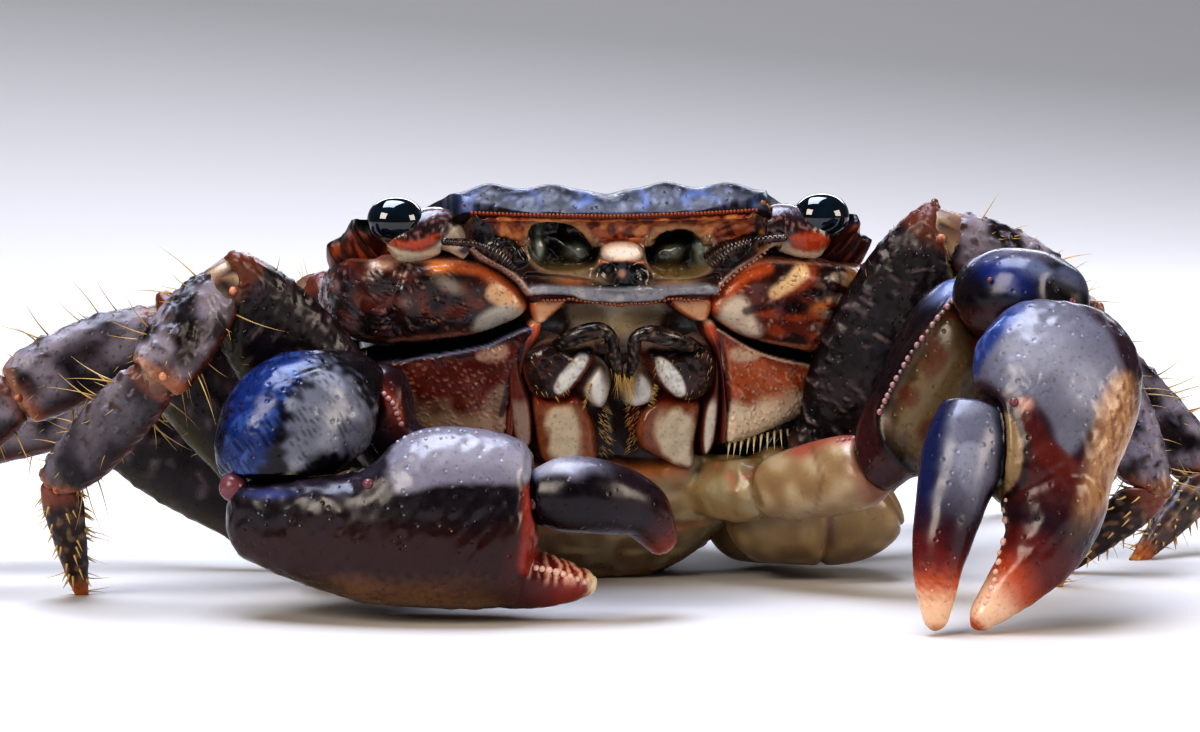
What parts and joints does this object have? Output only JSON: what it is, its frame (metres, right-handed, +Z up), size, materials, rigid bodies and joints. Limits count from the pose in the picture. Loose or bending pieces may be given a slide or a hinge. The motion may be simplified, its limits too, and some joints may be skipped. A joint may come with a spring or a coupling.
{
  "type": "marbled shore crab",
  "caption": "Life-size still model of a marbled shore crab, crouched nose up with one claw folded across its mouth and the other hanging to the ground.",
  "frame": {"origin": "on the ground, under the flat of the folded tail plate on the belly", "axes": "+Z up, the crab faces -Y, its own left side is at +X"},
  "size_m": [0.1051, 0.0651, 0.0262],
  "materials": {
    "shell_back": "wet glossy shell, violet-black with blue-grey",
    "shell_face": "glossy shell, orange-brown to cream",
    "shell_cheek": "glossy shell, dark brown marbled with cream",
    "shell_flank": "finely granular glossy shell, red-brown",
    "shell_belly": "smooth pale shell, cream to pale brown",
    "mouthpart": "brown shell with white patches",
    "claw_shell": "wet glossy shell, violet-black over red-brown",
    "claw_tip": "glossy red-brown fading to cream",
    "leg_shell": "pitted shell, grey-violet",
    "talon": "horny claw, dark to amber",
    "eye": "mirror-smooth black cornea",
    "eyestalk": "glossy red-brown shell",
    "bristle": "straw-yellow bristles",
    "membrane": "soft joint skin, pale"
  },
  "bodies": {
    "root": {"carapace": "shell_back", "face": "shell_face", "sternum": "shell_belly", "abdomen": "shell_belly", "cheek_right": "shell_cheek", "flank_right": "shell_flank", "mouth_right": "mouthpart", "eyestalk_right": "eyestalk", "eye_right": "eye", "antenna_right": "eyestalk", "claw_right_ischium": "shell_belly", "claw_right_merus": "claw_shell", "claw_right_carpus": "claw_shell", "claw_right_palm": "claw_shell", "claw_right_finger": "claw_tip", "leg_right_1_merus": "leg_shell", "leg_right_1_carpus": "leg_shell", "leg_right_1_propodus": "leg_shell", "leg_right_1_dactylus": "talon", "leg_right_2_merus": "leg_shell", "leg_right_2_carpus": "leg_shell", "leg_right_2_propodus": "leg_shell", "leg_right_2_dactylus": "talon", "leg_right_3_merus": "leg_shell", "leg_right_3_carpus": "leg_shell", "leg_right_3_propodus": "leg_shell", "leg_right_3_dactylus": "talon", "leg_right_4_merus": "leg_shell", "leg_right_4_carpus": "leg_shell", "leg_right_4_propodus": "leg_shell", "leg_right_4_dactylus": "talon", "cheek_left": "shell_cheek", "flank_left": "shell_flank", "mouth_left": "mouthpart", "eyestalk_left": "eyestalk", "eye_left": "eye", "antenna_left": "eyestalk", "claw_left_ischium": "shell_belly", "claw_left_merus": "claw_shell", "claw_left_carpus": "claw_shell", "claw_left_palm": "claw_shell", "claw_left_finger": "claw_tip", "leg_left_1_merus": "leg_shell", "leg_left_1_carpus": "leg_shell", "leg_left_1_propodus": "leg_shell", "leg_left_1_dactylus": "talon", "leg_left_2_merus": "leg_shell", "leg_left_2_carpus": "leg_shell", "leg_left_2_propodus": "leg_shell", "leg_left_2_dactylus": "talon", "leg_left_3_merus": "leg_shell", "leg_left_3_carpus": "leg_shell", "leg_left_3_propodus": "leg_shell", "leg_left_3_dactylus": "talon", "leg_left_4_merus": "leg_shell", "leg_left_4_carpus": "leg_shell", "leg_left_4_propodus": "leg_shell", "leg_left_4_dactylus": "talon"}
  },
  "joints": []
}
